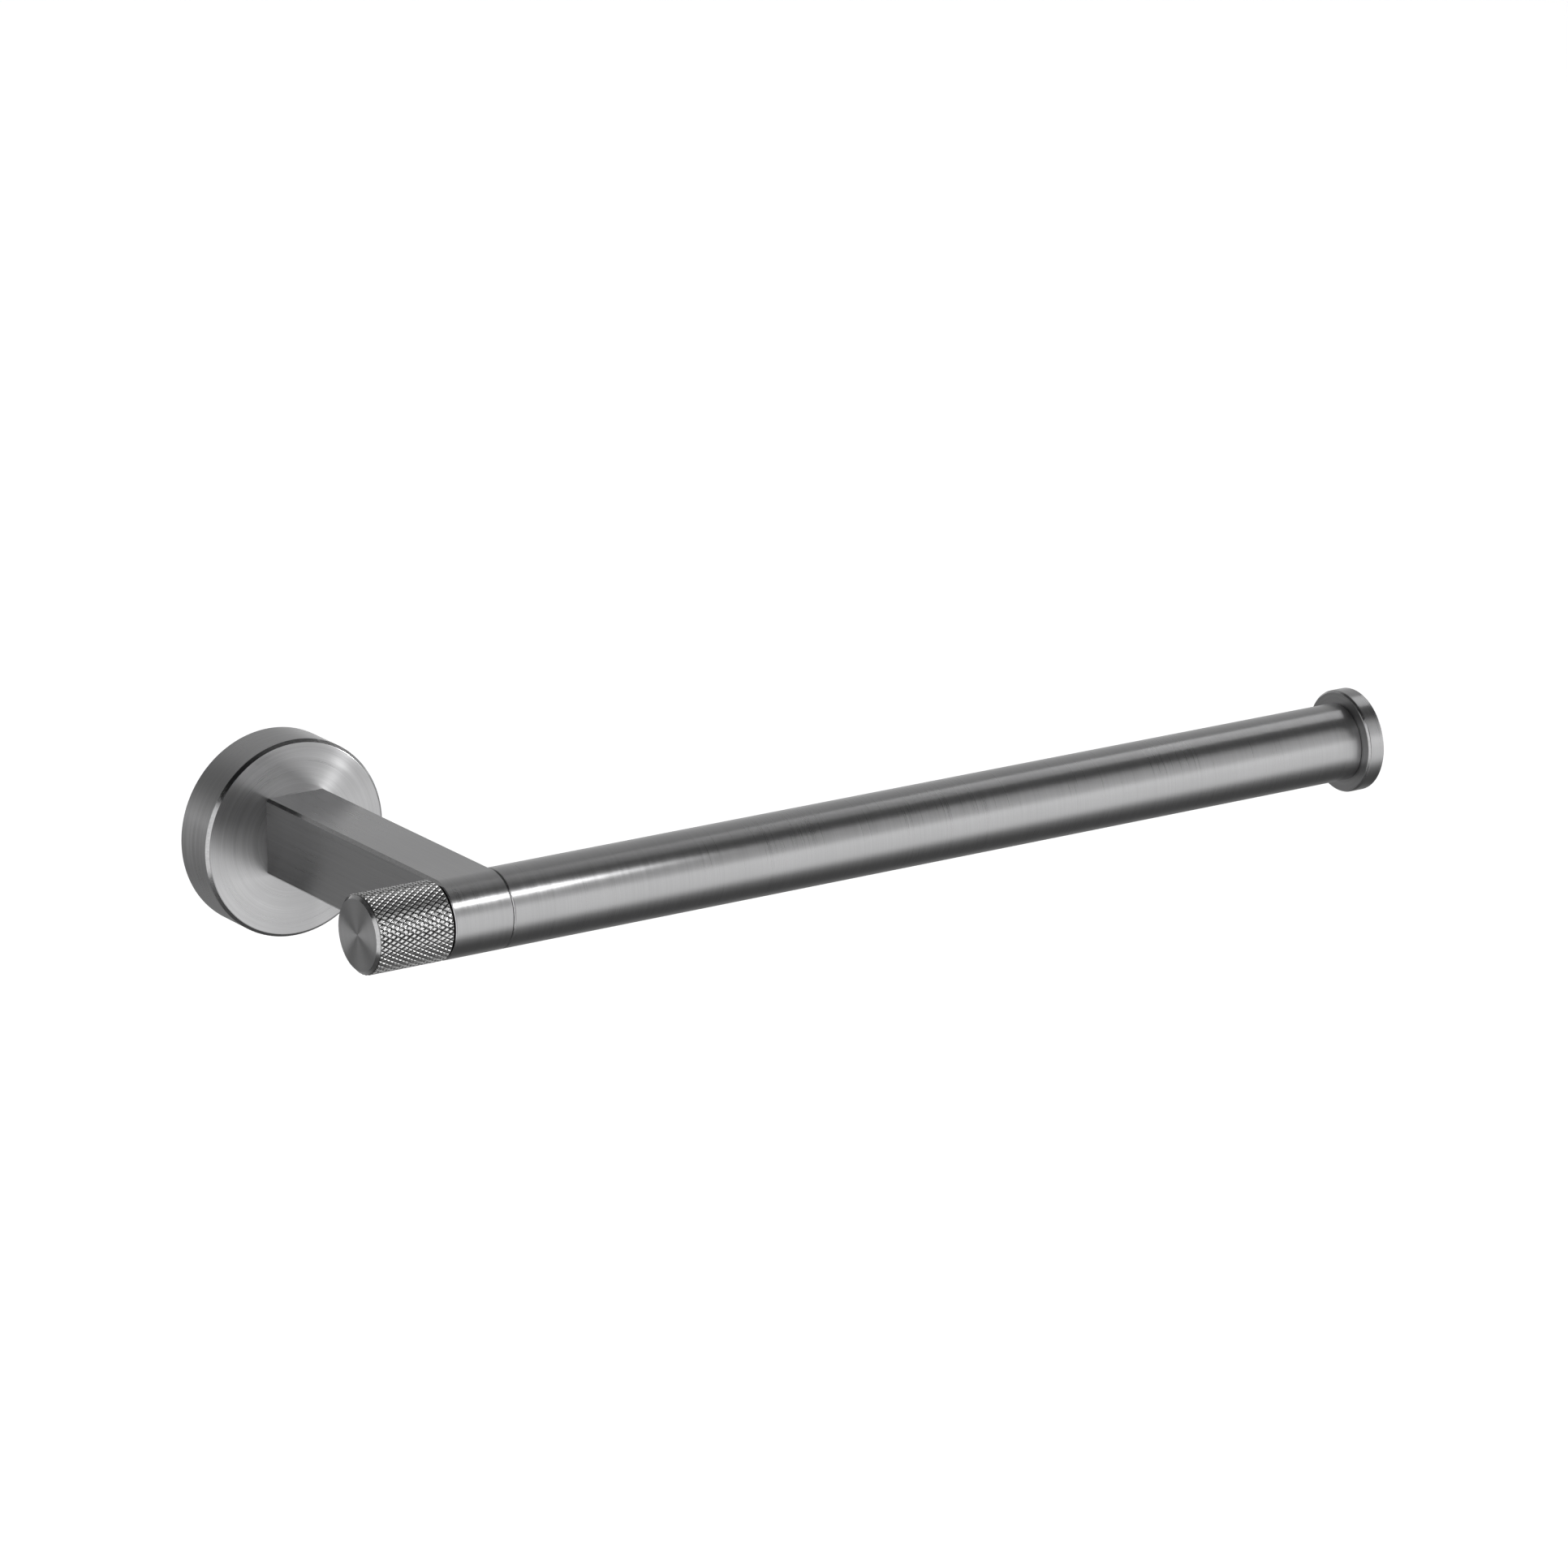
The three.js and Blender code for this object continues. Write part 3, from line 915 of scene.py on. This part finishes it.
# %% Brushed metal
def brushed(name, pattern, colour=0.5, roughness=0.3, anisotropy=0.8, streak=0.1):
    """A brushed metal. The pattern function gives the scratches' coordinates and direction."""
    material = bpy.data.materials.new(name)
    material.use_nodes = True
    tree = material.node_tree
    shader = tree.nodes["Principled BSDF"]
    coordinates, tangent = pattern(tree)
    fine = noise(tree, coordinates, (FINE, ALONG, ALONG))
    broad = noise(tree, coordinates, (BROAD, ALONG / 2, ALONG / 2))
    smudges = noise(tree, coordinates, (ALONG, ALONG, ALONG), detail=2.0)
    mixed = calculate(tree, "MULTIPLY", calculate(tree, "ADD", fine, broad), 0.5)
    tone = stretch(tree, mixed, colour * (1 - streak), colour * (1 + streak))
    tint = add_node(tree, "ShaderNodeCombineColor")
    plug(tree, tint.inputs["Red"], tone)
    plug(tree, tint.inputs["Green"], tone)
    plug(tree, tint.inputs["Blue"], calculate(tree, "MULTIPLY", tone, 1.01))
    plug(tree, shader.inputs["Base Color"], tint.outputs[0])
    rough = calculate(tree, "ADD",
                      stretch(tree, mixed, roughness - 0.05, roughness + 0.05),
                      stretch(tree, smudges, -0.02, 0.02))
    plug(tree, shader.inputs["Roughness"], rough)
    shader.inputs["Metallic"].default_value = 1.0
    shader.inputs["Anisotropic"].default_value = anisotropy
    shader.inputs["Anisotropic Rotation"].default_value = 0.25
    plug(tree, shader.inputs["Tangent"], tangent)
    bump = add_node(tree, "ShaderNodeBump")
    bump.inputs["Strength"].default_value = 0.25
    bump.inputs["Distance"].default_value = 0.00002
    plug(tree, bump.inputs["Height"], mixed)
    plug(tree, shader.inputs["Normal"], bump.outputs["Normal"])
    return material


rosette_centre = Vector((0, 0, 0))
ROSETTE_STEEL = brushed("rosette_steel", lambda tree: ring_scratches(tree, rosette_centre, 1),
                        colour=0.53, anisotropy=0.9, streak=0.16)
TURNED_STEEL = brushed("bar_ring_steel", lambda tree: ring_scratches(tree, AXIS, 0))
END_STEEL = brushed("knob_end_steel", lambda tree: ring_scratches(tree, AXIS, 0),
                    roughness=0.42, anisotropy=0.9, streak=0.08)
ARM_SIDE_STEEL = brushed("arm_side_steel", side_scratches)
ARM_WRAP_STEEL = brushed("arm_wrap_steel", wrap_scratches)
brushed_steels = (ROSETTE_STEEL, TURNED_STEEL, END_STEEL, ARM_SIDE_STEEL, ARM_WRAP_STEEL)
print("brushed steels:", [steel.name for steel in brushed_steels])

# %% [markdown]
# ## Knurled steel, plated steel and nylon
# The rollers press the knurl and leave it bare and bright on the diamonds. Down the flanks and in the
# grooves the colour darkens to near black, which is painted shade. The distance from the axis tells the two
# apart.
# The hidden fasteners are zinc plated, the set screw is blackened and the washer is nylon. These and the
# chamfers need no direction, so one plain function with a fine grain makes them all.

# %% Knurled steel
def knurled():
    """Bright diamonds that darken down the flanks into the grooves, by the distance from the knob's axis:
    the darkening is painted shade.
    """
    material = bpy.data.materials.new("knurl_steel")
    material.use_nodes = True
    tree = material.node_tree
    shader = tree.nodes["Principled BSDF"]
    place = place_from(tree, AXIS)
    radius = vector(tree, "LENGTH", vector(tree, "MULTIPLY", place, (0.0, 1.0, 1.0)))
    # painted shade: the colour falls from the diamonds' bright tone to near black down the flanks and into
    # the grooves
    depth = add_node(tree, "ShaderNodeMapRange")
    plug(tree, depth.inputs["Value"], radius)
    depth.inputs["From Min"].default_value = BAR_RADIUS - KNURL_DEPTH
    depth.inputs["From Max"].default_value = BAR_RADIUS - 0.3 * KNURL_DEPTH
    depth.inputs["To Min"].default_value = 0.02
    depth.inputs["To Max"].default_value = 0.84
    grain = stretch(tree, noise(tree, place, (1500.0, 1500.0, 1500.0)), 0.86, 1.1)
    tone = calculate(tree, "MULTIPLY", depth.outputs["Result"], grain)
    tint = add_node(tree, "ShaderNodeCombineColor")
    for channel in ("Red", "Green", "Blue"):
        plug(tree, tint.inputs[channel], tone)
    plug(tree, shader.inputs["Base Color"], tint.outputs[0])
    smudges = noise(tree, place, (700.0, 700.0, 700.0))
    plug(tree, shader.inputs["Roughness"], stretch(tree, smudges, 0.2, 0.28))
    shader.inputs["Metallic"].default_value = 1.0
    bump = add_node(tree, "ShaderNodeBump")
    bump.inputs["Strength"].default_value = 0.3
    bump.inputs["Distance"].default_value = 0.00002
    plug(tree, bump.inputs["Height"], noise(tree, place, (4000.0, 4000.0, 4000.0)))
    plug(tree, shader.inputs["Normal"], bump.outputs["Normal"])
    return material


def speckled(name, colour, roughness, metallic, grain_scale):
    """A plain finish with a fine grain in its colour, roughness and height."""
    material = bpy.data.materials.new(name)
    material.use_nodes = True
    tree = material.node_tree
    shader = tree.nodes["Principled BSDF"]
    place = place_from(tree, (0.0, 0.0, 0.0))
    grain = noise(tree, place, (grain_scale, grain_scale, grain_scale))
    tint = add_node(tree, "ShaderNodeCombineColor")
    for channel, level in zip(("Red", "Green", "Blue"), colour):
        plug(tree, tint.inputs[channel], stretch(tree, grain, level * 0.85, level * 1.15))
    plug(tree, shader.inputs["Base Color"], tint.outputs[0])
    plug(tree, shader.inputs["Roughness"], stretch(tree, grain, roughness - 0.06, roughness + 0.06))
    shader.inputs["Metallic"].default_value = metallic
    bump = add_node(tree, "ShaderNodeBump")
    bump.inputs["Strength"].default_value = 0.2
    bump.inputs["Distance"].default_value = 0.00003
    plug(tree, bump.inputs["Height"], grain)
    plug(tree, shader.inputs["Normal"], bump.outputs["Normal"])
    return material


EDGE_STEEL = speckled("edge_steel", (0.54, 0.54, 0.545), 0.17, 1.0, 1400.0)
KNURLED_STEEL = knurled()
ZINC = speckled("zinc_plate", (0.62, 0.63, 0.65), 0.4, 1.0, 900.0)
BLACK_OXIDE = speckled("black_oxide", (0.03, 0.03, 0.032), 0.45, 1.0, 1500.0)
NYLON = speckled("matt_nylon", (0.015, 0.015, 0.016), 0.6, 0.0, 2500.0)
other_finishes = (EDGE_STEEL, KNURLED_STEEL, ZINC, BLACK_OXIDE, NYLON)
print("other finishes:", [finish.name for finish in other_finishes])


# %% [markdown]
# ## Put the finishes on
# A piece can carry several finishes: the knob is knurled round its side, turned on its end and polished on
# its bevel. Painting a mask would do, but each face already knows which part it is by the way it faces. So
# a small test picks the finish for each face. Chamfers are cut last and aren't brushed, and shine.

# %% Put the finishes on
def finish_by_face(piece, materials, choose):
    """Gives each face the material that the choose function names by its place in the list."""
    piece.data.materials.clear()
    for material in materials:
        piece.data.materials.append(material)
    for face in piece.data.polygons:
        face.material_index = choose(face)


ROUND = 0.5  # a round's normal has less than this along the axis
FLAT = 0.9  # a flat's has more than this, and a chamfer's lies between the two


def leans(along):
    """True for a chamfer, whose normal leans between the flat's direction and the round's."""
    return ROUND < abs(along) < FLAT


def rosette_part(face):
    return 1 if leans(face.normal.y) else 0


def bar_part(face):
    return 1 if leans(face.normal.x) else 0


def arm_part(face):
    if leans(face.normal.x):
        return 2
    return 0 if abs(face.normal.x) > FLAT else 1


def knurled_part(face):
    """The end face and the bevel are turned smooth, and the rest is knurled."""
    if face.normal.x > -ROUND or face.center.x > KNOB.low.x + 1.05 * KNOB_BEVEL:
        return 0
    return 1 if leans(face.normal.x) else 2


finish_by_face(rosette, [ROSETTE_STEEL, EDGE_STEEL], rosette_part)
finish_by_face(arm, [ARM_SIDE_STEEL, ARM_WRAP_STEEL, EDGE_STEEL], arm_part)
finish_by_face(bar, [TURNED_STEEL, EDGE_STEEL], bar_part)
finish_by_face(cap, [TURNED_STEEL, EDGE_STEEL], bar_part)
finish_by_face(knob, [KNURLED_STEEL, EDGE_STEEL, END_STEEL], knurled_part)

for piece in (plate, *arm_screws, clamp_stud, cap_stud, arm_insert, cap_insert, pin):
    finish_by_face(piece, [ZINC], lambda face: 0)
finish_by_face(set_screw, [BLACK_OXIDE], lambda face: 0)
finish_by_face(washer, [NYLON], lambda face: 0)
print("finishes are on")

# %% [markdown]
# ## The studio's walls
# Polished metal shows its surroundings more than itself. Walls of real card would do, but they would also
# stand in the camera's way. So the studio is a set of soft bands round the holder, painted on the world by
# direction: pale in front and behind, dark straight below and in a band high in front. A few round cards on
# top of the bands are for single faces that need a darker or a brighter reflection.

# %% World bands
# Brightness round the holder, by the angle in degrees from the front horizon: up is 90, behind is 180.
BANDS = [
    (-180, 0.50), (-158, 0.34), (-130, 0.28),  # behind and low
    (-108, 0.10), (-75, 0.10),  # straight below
    (-54, 0.26), (-34, 1.0), (10, 1.08), (24, 0.38), (36, 0.20),  # in front
    (58, 0.08), (67, 0.08), (84, 0.12),  # high in front
    (97, 0.24), (130, 0.36), (168, 0.52), (180, 0.50),  # high and behind
]

# Round cards on top of the bands: where each faces the holder from, the cosines at which it starts and
# is full, and its brightness. A dark card takes light away and a bright one adds it.
DARK_CARDS = [
    ((-0.5, 0.86, 0.0), 0.70, 0.94, 0.64),  # behind on the left, for the arm's side and the knob's end
    ((-0.68, 0.0, 0.73), 0.50, 0.80, 0.22),  # high on the left, for the rosette's upper chamfer
    ((-0.45, -0.85, -0.28), 0.88, 0.95, 0.12),  # in front on the left, seen twice over by the arm's root
    ((-0.27, -0.90, 0.34), 0.80, 0.92, 0.12),  # in front, above the last one, for the knurl's other flanks
]
BRIGHT_CARDS = [
    ((-0.93, -0.2, -0.05), 0.78, 0.85, 1.0),  # left, for the chamfers that face the knob's side
    ((0.90, -0.37, 0.2), 0.91, 0.955, 2.0),  # right, for the knurl's upper flanks
]


def card(tree, way, towards, starts, full, outside, inside):
    """A round card's brightness: the outside value away from it and the inside value on it."""
    node = add_node(tree, "ShaderNodeMapRange", interpolation_type="SMOOTHSTEP")
    plug(tree, node.inputs["Value"], vector(tree, "DOT_PRODUCT", way, tuple(Vector(towards).normalized())))
    node.inputs["From Min"].default_value = starts
    node.inputs["From Max"].default_value = full
    node.inputs["To Min"].default_value = outside
    node.inputs["To Max"].default_value = inside
    return node.outputs["Result"]


def make_world():
    world = bpy.data.worlds.new("studio")
    bpy.context.scene.world = world
    world.use_nodes = True
    tree = world.node_tree
    background = tree.nodes["Background"]
    way = add_node(tree, "ShaderNodeTexCoord").outputs["Generated"]
    parts = add_node(tree, "ShaderNodeSeparateXYZ")
    plug(tree, parts.inputs[0], way)
    front = calculate(tree, "MULTIPLY", parts.outputs["Y"], -1.0)
    angle = calculate(tree, "ARCTAN2", parts.outputs["Z"], front)
    share = calculate(tree, "ADD", calculate(tree, "DIVIDE", angle, 2 * math.pi), 0.5)
    ramp = add_node(tree, "ShaderNodeValToRGB")
    plug(tree, ramp.inputs["Fac"], share)
    stops = ramp.color_ramp.elements
    for index, (degrees, level) in enumerate(BANDS):
        position = degrees / 360 + 0.5
        stop = stops[0] if index == 0 else stops.new(position)
        stop.position = position
        stop.color = (level, level, level, 1)
    level = ramp.outputs["Color"]
    for towards, starts, full, dark in DARK_CARDS:
        level = calculate(tree, "MULTIPLY", level, card(tree, way, towards, starts, full, 1.0, dark))
    for towards, starts, full, bright in BRIGHT_CARDS:
        level = calculate(tree, "MAXIMUM", level, card(tree, way, towards, starts, full, 0.0, bright))
    plug(tree, background.inputs["Strength"], level)
    background.inputs["Color"].default_value = (1, 1, 1, 1)


make_world()
print("world bands:", len(BANDS), "dark cards:", len(DARK_CARDS), "bright cards:", len(BRIGHT_CARDS))

# %% [markdown]
# ## The floor
# The floor is plain and pale, and a little bright by itself, so that it needs no lamp of its own. It is left
# out of reflections, so that the bands are what the steel sees. It lies well below the holder, which hangs
# on a wall and casts no shadow near by.

# %% Floor
FLOOR_SIZE = 40
FLOOR_HEIGHT = -0.25


def add_floor():
    clear_selection()
    bpy.ops.mesh.primitive_plane_add(size=FLOOR_SIZE, location=(0, 0, FLOOR_HEIGHT))
    floor = bpy.context.active_object
    floor.name = "floor"
    material = bpy.data.materials.new("pale_floor")
    material.use_nodes = True
    shader = material.node_tree.nodes["Principled BSDF"]
    shader.inputs["Base Color"].default_value = (0.9, 0.9, 0.9, 1)
    shader.inputs["Roughness"].default_value = 0.9
    shader.inputs["Specular IOR Level"].default_value = 0.0
    shader.inputs["Emission Color"].default_value = (1, 1, 1, 1)
    shader.inputs["Emission Strength"].default_value = 0.4
    floor.data.materials.append(material)
    floor.visible_glossy = False
    return floor


floor = add_floor()
print(floor.name, FLOOR_SIZE, "m across, at height", FLOOR_HEIGHT)

# %% [markdown]
# ## The lamps
# A wide lamp overhead gives the soft light. It is kept out of reflections, or it would wash the bar's top
# out. Two strips draw the bright line along the bar: a small one close to the nose, where the line is
# brightest, and a long one that lets it fade towards the cap. A card above lights the arm's top, and one
# narrow lamp draws the fan of light on the rosette's upper right. Brighter bands could do this too, but not
# with edges as crisp.

# %% Lamps
def add_area(name, place, target, size, power, in_reflections=True, spread=math.pi):
    """A rectangular light of the given width and height, facing the target."""
    bpy.ops.object.light_add(type="AREA", location=place)
    light = bpy.context.active_object
    light.name = name
    light.data.shape = "RECTANGLE"
    light.data.size, light.data.size_y = size
    light.data.energy = power
    light.data.spread = spread
    facing = Vector(place) - Vector(target)
    light.rotation_euler = facing.to_track_quat("Z", "Y").to_euler()
    light.visible_glossy = in_reflections
    light.visible_camera = False
    return light


def add_spot(name, place, target, power, radius, cone):
    """A snooted lamp that lights only what lies in its narrow cone."""
    bpy.ops.object.light_add(type="SPOT", location=place)
    light = bpy.context.active_object
    light.name = name
    light.data.energy = power
    light.data.shadow_soft_size = radius
    light.data.spot_size = cone
    light.data.spot_blend = 0.4
    facing = Vector(place) - Vector(target)
    light.rotation_euler = facing.to_track_quat("Z", "Y").to_euler()
    light.visible_camera = False
    return light


STRIP_WAY = Vector((0.528, -0.621, 0.579))  # from the bar's axis towards the long strip
NOSE_WAY = Vector((0.528, -0.585, 0.616))  # and towards the strip close to the nose
TOP_WAY = Vector((0.528, 0.24, 0.815))
SPOT_WAY = Vector((0.894, -0.371, 0.252))

strip_place = AXIS + STRIP_WAY * 0.9 - Vector((0.38, 0, 0))
nose_place = AXIS + NOSE_WAY * 0.3 - Vector((0.12, 0, 0))
top_place = AXIS + TOP_WAY * 0.9 + Vector((0.36, 0, 0))
upper_right = Vector((0.011, -ROSETTE_DEPTH, 0.018))  # the only part of the rosette that its lamp lights
spot_place = upper_right + SPOT_WAY * 0.5

add_area("overhead", (0.2, 0.6, 3.0), (0.2, 0.6, 0.0), size=(6.0, 6.0), power=110, in_reflections=False)
add_area("long strip", strip_place, strip_place - STRIP_WAY, size=(0.3, 0.08), power=0.17)
add_area("nose strip", nose_place, AXIS, size=(0.08, 0.02), power=0.007, spread=math.radians(24))
add_area("top card", top_place, top_place - TOP_WAY, size=(0.4, 0.16), power=0.3)
add_spot("rosette lamp", spot_place, upper_right, power=5.0, radius=0.012, cone=math.radians(4.8))
bpy.context.scene.view_settings.view_transform = "Standard"
print("studio ready")
